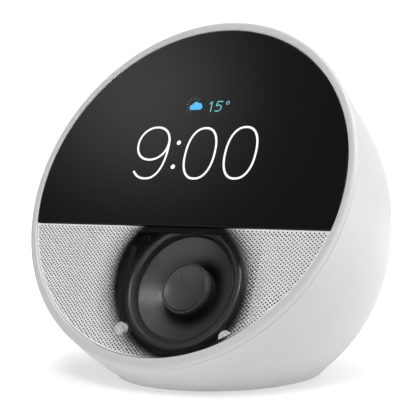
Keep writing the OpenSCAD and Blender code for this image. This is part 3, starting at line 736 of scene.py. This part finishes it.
def ring_outer(angles, depth):
    """Outer radius of the ring at a depth, where the body's surface would be."""
    low, high = np.full(angles.shape, 50.0), np.full(angles.shape, 58.0)
    for _ in range(30):
        middle = (low + high) / 2
        at = on_face(middle * np.cos(angles), middle * np.sin(angles), depth)
        local = (at - FACE) / MM
        inside = np.hypot(local @ ACROSS, local @ TOP) < body_radius(local @ ALONG)
        low, high = np.where(inside, middle, low), np.where(inside, high, middle)
    return low


def front_ring():
    """The ring from its bore over its rounded front to the body's surface and back inside."""
    turns = 288
    angles = round_turn(turns)
    sleeve_r = OPENING_R + 0.8
    round_out = 1.0
    round_in = 0.22
    rows = [(OPENING_R, RING_DEPTH), (OPENING_R, 1.0)]
    for bend in np.radians((0, 30, 60, 90)):
        rows.append((OPENING_R + round_in * (1 - math.cos(bend)),
                     round_in * (1 - math.sin(bend))))
    rim = ring_outer(angles, 0.0)
    rows.append(((OPENING_R + round_in + rim - round_out) / 2, 0.0))
    for bend in np.radians((0, 15, 30, 45, 60, 75, 90)):
        depth = round_out * (1 - math.cos(bend))
        rows.append((ring_outer(angles, depth) - round_out * (1 - math.sin(bend)), depth))
    rows.append((ring_outer(angles, RING_LIP - 0.1), RING_LIP - 0.1))
    rows.append((ring_outer(angles, RING_LIP) - 0.1, RING_LIP))
    rows += [(sleeve_r, RING_LIP), (sleeve_r, RING_DEPTH)]
    points = np.concatenate([
        on_face(radius * np.cos(angles), radius * np.sin(angles), depth) for radius, depth in rows
    ])
    return piece("ring_band", points, grid_faces(len(rows), turns, True), ring_plastic)


ring = front_ring()
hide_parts("front_ring")

lens = slab("lens_plate", segment_outline(LENS_R, LENS_LOW, True), LENS_FRONT, LENS_BACK, 0.15,
            glass)
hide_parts("display_lens")


# Woven cloth: yarns at both diagonals that pass over and under each other, inside a bound edge
PITCH = 0.9
LEAN = 40
YARN_W = 0.42
YARN_T = 0.2
SWING = 0.11
SHORTEST_YARN = 0.8
HEM_W = 0.55
HEM_T = 0.3


def yarns(direction, crossing, phase):
    """Points and faces of one set of yarns, clipped to the grille. crossing is the other set's
    direction, and phase is 1 for the set that starts underneath."""
    sides = 6
    around = round_turn(sides)
    radius = LENS_R - HEM_W / 2
    top = CLOTH_TOP - HEM_W / 2
    heading = np.array([math.cos(math.radians(direction)), math.sin(math.radians(direction))])
    beside = np.array([-heading[1], heading[0]])
    other = np.array([-math.sin(math.radians(crossing)), math.cos(math.radians(crossing))])
    middle = (CLOTH_FRONT + CLOTH_BACK) / 2
    strands = []
    count = int(radius / PITCH) + 1
    for k in range(-count, count + 1):
        offset = k * PITCH
        if abs(offset) >= radius - 0.3:
            continue
        reach = math.sqrt(radius ** 2 - offset ** 2)
        limit = (top - offset * beside[1]) / heading[1]
        low, high = (-reach, min(reach, limit)) if heading[1] > 0 else (max(-reach, limit), reach)
        if high - low < SHORTEST_YARN:
            continue
        steps = max(int((high - low) / (PITCH / 3)), 3)
        along = np.linspace(low, high, steps)
        line = along[:, None] * heading + offset * beside
        wave = SWING * np.cos(math.pi * (line @ other / PITCH + k + phase))
        x = line[:, 0][:, None] + YARN_W / 2 * np.cos(around) * beside[0]
        v = line[:, 1][:, None] + YARN_W / 2 * np.cos(around) * beside[1]
        depth = middle + wave[:, None] + YARN_T / 2 * np.sin(around)
        strands.append((on_face(x, v, depth).reshape(-1, 3), capped_faces(steps, sides)))
    return joined(strands)


def hem():
    """The bound edge of the cloth, an oval cord along its outline."""
    line = offset_outline(segment_outline(LENS_R, CLOTH_TOP, False), HEM_W / 2)
    heading = np.roll(line, -1, axis=0) - np.roll(line, 1, axis=0)
    heading /= np.linalg.norm(heading, axis=1)[:, None]
    beside = np.stack([-heading[:, 1], heading[:, 0]], axis=1)
    sides = 8
    around = round_turn(sides)[:, None]
    middle = (CLOTH_FRONT + CLOTH_BACK) / 2
    x = line[:, 0] + HEM_W / 2 * np.cos(around) * beside[:, 0]
    v = line[:, 1] + HEM_W / 2 * np.cos(around) * beside[:, 1]
    depth = middle + HEM_T / 2 * np.sin(around)
    return on_face(x, v, depth).reshape(-1, 3), grid_faces(sides, len(line), True)


cloth_parts = [yarns(LEAN, -LEAN, 0), yarns(-LEAN, LEAN, 1), hem()]
weave = piece("grille_weave", *joined(cloth_parts),
              cloth_material("grille_yarn", (0.92, 0.92, 0.925)), sharp=80)
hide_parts("grille_cloth")


# ---- Clock and weather figures ----

HALF_FILM = 0.02
STROKE = 0.66
FINE_STROKE = 0.33
RAY_STROKE = 0.16


def ribbon(line, width):
    """The outline of a flat stroke with round ends along a line of points."""
    line = np.array(line, float)
    before = np.vstack([line[:1], line[:-1]])
    after = np.vstack([line[1:], line[-1:]])
    heading = after - before
    heading /= np.linalg.norm(heading, axis=1)[:, None]
    beside = np.stack([-heading[:, 1], heading[:, 0]], axis=1) * width / 2
    left, right = line + beside, line - beside
    outline = list(left)
    end = math.degrees(math.atan2(beside[-1][1], beside[-1][0]))
    outline += [np.array(p) for p in arc(line[-1], width / 2, end, end - 180, 9)[1:-1]]
    outline += list(right[::-1])
    start = math.degrees(math.atan2(-beside[0][1], -beside[0][0]))
    outline += [np.array(p) for p in arc(line[0], width / 2, start, start - 180, 9)[1:-1]]
    return np.array(outline)


def lit_shape(outline):
    """Front and back faces and a thin edge for a closed outline, as points and faces."""
    front = on_face(outline[:, 0], outline[:, 1], LENS_FRONT - HALF_FILM)
    back = on_face(outline[:, 0], outline[:, 1], LENS_FRONT + HALF_FILM)
    return np.concatenate([front, back]), capped_faces(2, len(outline))


def ring_shape(centre, half_w, half_h, stroke, steps=96, power=2.3):
    """A closed loop of even width, slightly squarer than an ellipse, as points and faces."""
    angles = round_turn(steps)
    cosine, sine = np.cos(angles), np.sin(angles)
    x = np.sign(cosine) * np.abs(cosine) ** (2 / power)
    v = np.sign(sine) * np.abs(sine) ** (2 / power)
    half = stroke / 2
    rows = []
    for grow, depth in ((0, -HALF_FILM), (half, -HALF_FILM), (half, HALF_FILM),
                        (-half, HALF_FILM), (-half, -HALF_FILM)):
        rows.append(on_face(centre[0] + (half_w + grow) * x, centre[1] + (half_h + grow) * v,
                            LENS_FRONT + depth))
    return np.concatenate(rows), grid_faces(len(rows), steps, True)


def shapes(name, parts, material):
    """One lit piece in the lens, from several shapes."""
    piece(name, *joined(parts), material)


# The tail of the nine: down the right side of its bowl and round its foot
NINE_LINE = [(-8.75, 15.6), (-8.5, 12.6), (-8.6, 9.6), (-9.2, 6.6), (-10.3, 4.3), (-12.0, 2.75),
             (-13.9, 2.3), (-15.8, 2.45), (-17.6, 3.2), (-19.1, 4.6)]


def smooth(line, per=10):
    """A Catmull-Rom curve through the points of a line."""
    line = [np.array(p, float) for p in line]
    line = [2 * line[0] - line[1]] + line + [2 * line[-1] - line[-2]]
    out = []
    for a, b, c, d in zip(line, line[1:], line[2:], line[3:]):
        for t in np.linspace(0, 1, per, endpoint=False):
            out.append(0.5 * (2 * b + (c - a) * t + (2 * a - 5 * b + 4 * c - d) * t ** 2
                              + (3 * b - a - 3 * c + d) * t ** 3))
    return out + [line[-2]]


def dot(centre, radius):
    """A lit disc."""
    return lit_shape(np.array(arc(centre, radius, 0, 360, 33)[:-1]))


def cloud_outline():
    """The outer edge of a row of overlapping puffs on a flat foot, seen from inside."""
    puffs = [((-3.45, 26.45), 0.95), ((-2.35, 27.1), 1.15), ((-1.2, 26.75), 1.1),
             ((-0.7, 26.35), 0.9)]
    foot = 25.5
    middle = np.array([-2.1, 26.4])
    outline = []
    for a in round_turn(120):
        ray = np.array([math.cos(a), math.sin(a)])
        reach = 0.0
        for centre, radius in puffs:
            gap = middle - np.array(centre)
            b = gap @ ray
            inside = b * b - gap @ gap + radius ** 2
            if inside > 0:
                reach = max(reach, -b + math.sqrt(inside))
        if ray[1] < 0:
            floor_reach = (foot - middle[1]) / ray[1]
            if puffs[0][0][0] < middle[0] + floor_reach * ray[0] < puffs[-1][0][0]:
                reach = floor_reach
        outline.append(middle + reach * ray)
    return np.array(outline)


nine = lit_shape(ribbon(smooth(NINE_LINE), STROKE))
bowl = ring_shape((-14.4, 14.2), 5.65, 5.55, STROKE, power=2.1)
zeros = [ring_shape((x, 10.65), 5.2, 8.4, STROKE) for x in (3.5, 17.6)]
colon = [dot((-5.05, v), 0.74) for v in (6.2, 14.3)]
shapes("clock_figures", [nine, bowl, *zeros, *colon], clock_light)
shapes("cloud_sign", [lit_shape(cloud_outline())], cloud_light)
rays = []
for turn in range(50, 275, 25):
    ray = np.array([math.cos(math.radians(turn)), math.sin(math.radians(turn))])
    start = np.array([-3.1, 27.2]) + ray * 1.9
    rays.append(lit_shape(ribbon([start, start + ray * 0.45, start + ray * 0.9], RAY_STROKE)))
shapes("sun_rays", rays, ray_light)
one = [lit_shape(ribbon([(2.75, 27.35), (3.1, 27.7), (3.45, 28.05)], FINE_STROKE)),
       lit_shape(ribbon([(3.45, 28.05), (3.5, 26.4), (3.55, 24.7)], FINE_STROKE))]
five = lit_shape(ribbon(smooth([(7.25, 28.05), (6.4, 28.05), (5.5, 28.05), (5.35, 27.3),
                                (5.25, 26.6), (5.9, 26.85), (6.7, 26.65), (7.1, 26.0),
                                (6.8, 25.2), (6.0, 24.75), (5.1, 24.9)]), FINE_STROKE))
shapes("temperature_figures", [*one, five, ring_shape((9.1, 27.5), 0.5, 0.5, 0.24, 40, 2.0)],
       degree_light)


# ---- Loudspeaker ----

def surround_profile():
    """The half roll between an inner and an outer lip."""
    inner, outer = CREST_R - ROLL_R - 0.9, CREST_R + ROLL_R + 0.4
    crest = (CREST_R, -FLANGE_DEPTH)
    profile = [(inner, FLANGE_DEPTH)]
    profile += [(r, -z) for r, z in arc(crest, ROLL_R, 180, 0, 33)]
    profile += [(outer, FLANGE_DEPTH), (outer, FLANGE_DEPTH + 0.02)]
    profile += [(r, -z + 0.02) for r, z in arc(crest, ROLL_R - SKIN, 0, 180, 33)]
    return profile + [(inner, FLANGE_DEPTH + 0.1)]


def follow_cone(target, centre):
    """Measures how far inside its roll's outer edge each point of the surround lies; nothing is
    set from it.
    """
    local = (read_all(target.data.vertices, "co") - centre) @ np.stack([ACROSS, UP_FACE]).T / MM
    gap = CREST_R + ROLL_R - np.hypot(local[:, 0], local[:, 1])


surround = turned("rubber_surround", surround_profile(), rubber, body=None, v=DRIVER_V)
driver = on_face(0, DRIVER_V, FLANGE_DEPTH)
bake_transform(surround)
follow_cone(surround, driver)
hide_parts("surround")


def cone_profile():
    """The cone's slightly curved front, from its neck to its edge, and its back."""
    rise = NECK_DEPTH - FLANGE_DEPTH - 0.12
    front = [(NECK_R + (CONE_EDGE_R - NECK_R) * share, NECK_DEPTH - rise * share ** 1.2)
             for share in np.linspace(0, 1, 24)]
    return front + [(r, depth + SKIN) for r, depth in front[::-1]]


def cap_profile():
    """A dished middle, a groove round it, a rolled edge, the wall behind and the dish's back."""
    dish = [(r, DISH_DEPTH - (DISH_R - math.sqrt(DISH_R ** 2 - r ** 2)))
            for r in np.linspace(0, 7.1, 20)]
    profile = dish + [(7.3, 14.72), (7.42, 14.95), (7.52, 14.95), (7.6, 14.6)]
    profile += [(7.83 + 0.22 * math.cos(a), 14.55 - 0.22 * math.sin(a))
                for a in np.radians(np.linspace(170, 0, 9))]
    profile += [(CAP_R, CAP_FOOT), (CAP_R - SKIN, CAP_FOOT), (CAP_R - SKIN, 15.4)]
    return profile + [(r, depth + SKIN) for r, depth in dish[::-1]]


cone = turned("speaker_cone", cone_profile(), cone_finish, "cone_assembly", DRIVER_V)
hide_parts("cone")

cap = turned("speaker_cap", cap_profile(), cap_finish, "cone_assembly", DRIVER_V, closed=False)
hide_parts("dust_cap")


# ---- Buttons ----

def button(name, node, x0, marks):
    """A crown that follows the body, a skirt and a plunger, with its mark cut into the crown."""
    turns = 96
    angles = round_turn(turns)
    soft = 0.3
    height = top_height(x0, BUTTON_S)
    crown = [(radius, 0) for radius in np.linspace(0, BUTTON_R - soft, 12)]
    crown += [(BUTTON_R - soft * (1 - math.sin(bend)), soft * (1 - math.cos(bend)))
              for bend in np.radians((25, 50, 75, 90))]
    rows = []
    for radius, drop in crown:
        across, along = radius * np.cos(angles), radius * np.sin(angles)
        rows.append(on_top(x0 + across, BUTTON_S + along,
                           height(across, along) + BUTTON_PROUD - drop))
    for radius, u in ((BUTTON_R, BUTTON_FLANGE_U + 0.9), (PLUNGER_R, BUTTON_FLANGE_U),
                      (PLUNGER_R, PLUNGER_U), (0, PLUNGER_U)):
        across, along = radius * np.cos(angles), radius * np.sin(angles)
        rows.append(on_top(x0 + across, BUTTON_S + along, np.full(turns, u)))
    made = piece(name, np.concatenate(rows), grid_faces(len(rows), turns), button_plastic, node)
    level = float(height(np.zeros(1), np.zeros(1))[0]) + BUTTON_PROUD - MARK_DEPTH
    cut(made, [mark_solid(mark, x0, level) for mark in marks])
    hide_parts(node)


def mark_solid(mark, x0, level):
    """A straight-sided solid over a mark's outline, or over the band between two outlines."""
    bottom, top = [], []
    for outline in mark:
        bottom.append(on_top(x0 + outline[:, 0], BUTTON_S + outline[:, 1], level))
        top.append(on_top(x0 + outline[:, 0], BUTTON_S + outline[:, 1], level + 3))
    count = len(mark[0])
    if len(mark) == 1:
        return np.concatenate([bottom[0], top[0]]), capped_faces(2, count)
    return np.concatenate([bottom[0], top[0], top[1], bottom[1]]), grid_faces(4, count, True)


bar = ribbon([(-1.8, 0), (0, 0), (1.8, 0)], 0.55)
quarter = [(1.8, 0.27), (0.27, 0.27), (0.27, 1.8)]
plus = np.array([
    (x * sign_x, y * sign_y)
    for sign_x, sign_y, order in ((1, 1, 1), (-1, 1, -1), (-1, -1, 1), (1, -1, -1))
    for x, y in quarter[::order]
])
circle = [np.array(arc((0, 0), r, 0, 360, 65)[:-1]) for r in (1.9, 1.4)]
button("volume_down_cap", "volume_down", -BUTTON_PITCH, [[bar]])
button("mic_button_cap", "mic_button", 0.0, [circle])
button("volume_up_cap", "volume_up", BUTTON_PITCH, [[plus]])


# ---- Carried-over solids ----

# Colour, roughness, metallic share and grain size of each finish the record names
FINISHES = {
    "tape_black": ((0.02, 0.02, 0.02), 0.8, 0, 0.4),
    "clear_adhesive": ((0.6, 0.62, 0.65), 0.15, 0, 0.5),
    "lcd_black": ((0.02, 0.02, 0.025), 0.2, 0, 0.3),
    "backlight_white": ((0.7, 0.7, 0.7), 0.5, 0, 0.4),
    "tinned_steel": ((0.6, 0.6, 0.61), 0.32, 1, 0.25),
    "flex_amber": ((0.42, 0.2, 0.03), 0.35, 0, 0.5),
    "carrier_black": ((0.02, 0.02, 0.021), 0.55, 0, 0.3),
    "screw_steel": ((0.78, 0.78, 0.77), 0.38, 0.35, 0.2),
    "box_black": ((0.02, 0.02, 0.02), 0.6, 0, 0.4),
    "foam_black": ((0.012, 0.012, 0.012), 0.95, 0, 0.3),
    "basket_black": ((0.012, 0.012, 0.0125), 0.42, 0, 0.3),
    "former_film": ((0.5, 0.28, 0.07), 0.35, 0, 0.4),
    "coil_copper": ((0.7, 0.3, 0.12), 0.35, 1, 0.2),
    "spider_fabric": ((0.35, 0.2, 0.06), 0.9, 0, 0.2),
    "plate_steel": ((0.5, 0.5, 0.52), 0.35, 1, 0.3),
    "magnet_grey": ((0.1, 0.1, 0.11), 0.5, 0.3, 0.4),
    "terminal_brown": ((0.2, 0.1, 0.04), 0.6, 0, 0.4),
    "lead_black": ((0.02, 0.02, 0.02), 0.45, 0, 0.4),
    "board_green": ((0.01, 0.09, 0.035), 0.35, 0, 0.6),
    "chip_black": ((0.02, 0.02, 0.02), 0.5, 0, 0.2),
    "pad_grey": ((0.3, 0.4, 0.5), 0.9, 0, 0.5),
    "spreader_aluminium": ((0.7, 0.71, 0.72), 0.4, 1, 0.3),
    "switch_black": ((0.03, 0.03, 0.03), 0.5, 0, 0.3),
    "mic_metal": ((0.7, 0.55, 0.28), 0.35, 1, 0.2),
    "jack_black": ((0.015, 0.015, 0.015), 0.4, 0, 0.3),
    "cover_grey": ((0.45, 0.45, 0.45), 0.6, 0, 0.4),
    "foot_rubber": ((0.03, 0.03, 0.03), 0.85, 0, 0.35),
}


# Radius of the painted shade on the baffle, and where its edge has faded out
SHADE_R = 27
SHADE_FADE_R = 32


def baffle_material():
    """Light moulded plastic, with near-black painted shade close to the loudspeaker on its left.
    """
    material, nodes, links, shader = new_material("baffle_finish")
    fine = noise(nodes, links, 0.4)
    gap = measured(nodes, links, "DISTANCE", on_face(-12, DRIVER_V + 2, 16))
    unshaded = ranged(nodes, links, gap, 0, 1, SHADE_R * MM, SHADE_FADE_R * MM)
    # Painted shade: near black round a point left of the loudspeaker, fading out farther away.
    links.new(mixed(nodes, links, unshaded, (0.01, 0.01, 0.01), (0.22, 0.22, 0.225)),
              shader.inputs["Base Color"])
    links.new(ranged(nodes, links, fine, 0.5, 0.65), shader.inputs["Roughness"])
    roughened(nodes, links, shader, fine, 0.02)
    return material


def screw_material():
    """Zinc-plated screws at the bottom of the loudspeaker, and near-black ones at its top."""
    material, nodes, links, shader = new_material("screws_light_below_dark_above")
    up = measured(nodes, links, "DOT_PRODUCT", UP_FACE)
    middle = float(on_face(0, DRIVER_V, FLANGE_DEPTH) @ UP_FACE)
    above = ranged(nodes, links, up, 0, 1, middle - MM, middle + MM)
    links.new(mixed(nodes, links, above, (0.78, 0.78, 0.77), (0.015, 0.015, 0.015)),
              shader.inputs["Base Color"])
    fine = noise(nodes, links, 0.2)
    links.new(ranged(nodes, links, fine, 0.34, 0.42), shader.inputs["Roughness"])
    shader.inputs["Metallic"].default_value = 0.3
    return material


finishes = {
    name: finish_of(name, colour, roughness, metallic, mottle=0.08, grain=grain, relief=0.01)
    for name, (colour, roughness, metallic, grain) in FINISHES.items()
}
finishes["baffle_grey"] = baffle_material()
finishes["frame_grey"] = finish_of("matt_frame", (0.006, 0.006, 0.006), 0.9, grain=0.3,
                                   relief=0.01, specular=0.1)
# Nodes that look different from the finish of their slot
node_finishes = {"speaker_screws": screw_material(), "box_screws": finishes["box_black"]}
for part in frame["record"]["subparts"]:
    made = frame["nodes"][part["node"]]
    if made.hide_render:
        continue
    made.data.materials.clear()
    made.data.materials.append(node_finishes.get(part["node"], finishes[part["material_slot"]]))


# ---- Floor, lights and camera ----

def floor():
    """A white floor with painted glow that grows with distance from the object: dull beside it and
    bright far away.
    """
    half = 6.0
    mesh = bpy.data.meshes.new("studio_floor")
    mesh.from_pydata([(-half, -half, 0), (half, -half, 0), (half, half, 0), (-half, half, 0)], [],
                     [(0, 1, 2, 3)])
    made = bpy.data.objects.new("studio_floor", mesh)
    bpy.context.scene.collection.objects.link(made)
    material, nodes, links, shader = new_material("studio_white")
    patches = noise(nodes, links, 400)
    links.new(mixed(nodes, links, patches, (0.93, 0.93, 0.93), (0.95, 0.95, 0.95)),
              shader.inputs["Base Color"])
    shader.inputs["Roughness"].default_value = 0.9
    shader.inputs["Specular IOR Level"].default_value = 0.0
    shader.inputs["Emission Color"].default_value = (1, 1, 1, 1)
    # Painted glow: emission that is seen but lights no matt surface. It is low beside the object
    # and rises farther out, so the floor round the base stays darker as painted shade.
    reach = measured(nodes, links, "DISTANCE", (0, 0, 0))
    glow = ranged(nodes, links, reach, 0.06, 0.9, 0.055, 0.36)
    links.new(seen_or_lighting(nodes, links, glow, 0.0), shader.inputs["Emission Strength"])
    mesh.materials.append(material)


def soft_light(name, where, target, size, power, shadow=True):
    """A round light of a size in metres, turned towards its target."""
    lamp = bpy.data.lights.new(name, "AREA")
    lamp.shape = "DISK"
    lamp.size = size
    lamp.energy = power
    lamp.use_shadow = shadow
    made = bpy.data.objects.new(name, lamp)
    made.location = where
    made.rotation_euler = (Vector(target) - Vector(where)).to_track_quat("-Z", "Y").to_euler()
    bpy.context.scene.collection.objects.link(made)


# The soft light that shows in the display's glass: where it is, its width, fall-off and strength
GLOW_TOWARDS = (-0.575, -0.473, 0.667)
GLOW_SPREAD = math.radians(10.5)
GLOW_FALL = 4.5
GLOW = 2.15
# How strongly the bright surroundings light matt surfaces, next to how bright they look
HORIZON_LIGHT = 0.21


def world():
    """White round the horizon and duller overhead, like a studio sweep, with one soft light."""
    made = bpy.data.worlds.new("studio")
    made.use_nodes = True
    nodes, links = made.node_tree.nodes, made.node_tree.links
    place = nodes.new("ShaderNodeTexCoord")
    parts = nodes.new("ShaderNodeSeparateXYZ")
    links.new(place.outputs["Generated"], parts.inputs["Vector"])
    dim = ranged(nodes, links, parts.outputs["Z"], 0, 1, 0.17, 0.42)
    seen = mixed(nodes, links, dim, (1.04, 1.04, 1.04), (0.32, 0.32, 0.325))
    lighting = (HORIZON_LIGHT, HORIZON_LIGHT, HORIZON_LIGHT, 1)
    sweep = seen_or_lighting(nodes, links, seen, lighting, "RGBA")
    towards = measured(nodes, links, "DOT_PRODUCT", GLOW_TOWARDS, "Generated")
    glow = ranged(nodes, links, towards, 0, 1, math.cos(GLOW_SPREAD), 1)
    for operation, value in (("POWER", GLOW_FALL), ("MULTIPLY", GLOW)):
        step = nodes.new("ShaderNodeMath")
        step.operation = operation
        step.inputs[1].default_value = value
        links.new(glow, step.inputs[0])
        glow = step.outputs["Value"]
    total = nodes.new("ShaderNodeVectorMath")
    total.operation = "ADD"
    links.new(sweep, total.inputs[0])
    links.new(glow, total.inputs[1])
    links.new(total.outputs["Vector"], nodes["Background"].inputs["Color"])
    bpy.context.scene.world = made


# The photograph's camera, fitted to the ring, the outline and the base line
CAMERA_PLACE = (0.1830, -0.3033, 0.0620)
CAMERA_AZIMUTH = math.radians(31.88)
CAMERA_ELEVATION = math.radians(1.16)
CAMERA_LENS = 95.51
CAMERA_SHIFT = (0.0006, -0.0219)


def camera():
    """A camera that looks as the photograph's does."""
    level = math.cos(CAMERA_ELEVATION)
    back = Vector((math.sin(CAMERA_AZIMUTH) * level, -math.cos(CAMERA_AZIMUTH) * level,
                   math.sin(CAMERA_ELEVATION)))
    lens_data = bpy.data.cameras.new("photo_view")
    lens_data.sensor_width = 36
    lens_data.lens = CAMERA_LENS
    lens_data.shift_x, lens_data.shift_y = CAMERA_SHIFT
    lens_data.clip_start = 0.01
    made = bpy.data.objects.new("photo_view", lens_data)
    made.location = CAMERA_PLACE
    made.rotation_mode = "QUATERNION"
    made.rotation_quaternion = (-back).to_track_quat("-Z", "Y")
    bpy.context.scene.collection.objects.link(made)
    bpy.context.scene.camera = made


floor()
world()
camera()
soft_light("key_front", (0.35, -0.8, 0.95), (0, 0, 0.05), 0.35, 5)
soft_light("top_panel", (0.1, 0.1, 1.6), (0, 0, 0), 1.6, 10.5)
soft_light("key_right", (0.9, 0.45, 0.9), (0, 0, 0.06), 1.0, 13, shadow=False)
bpy.context.scene.view_settings.view_transform = "Standard"
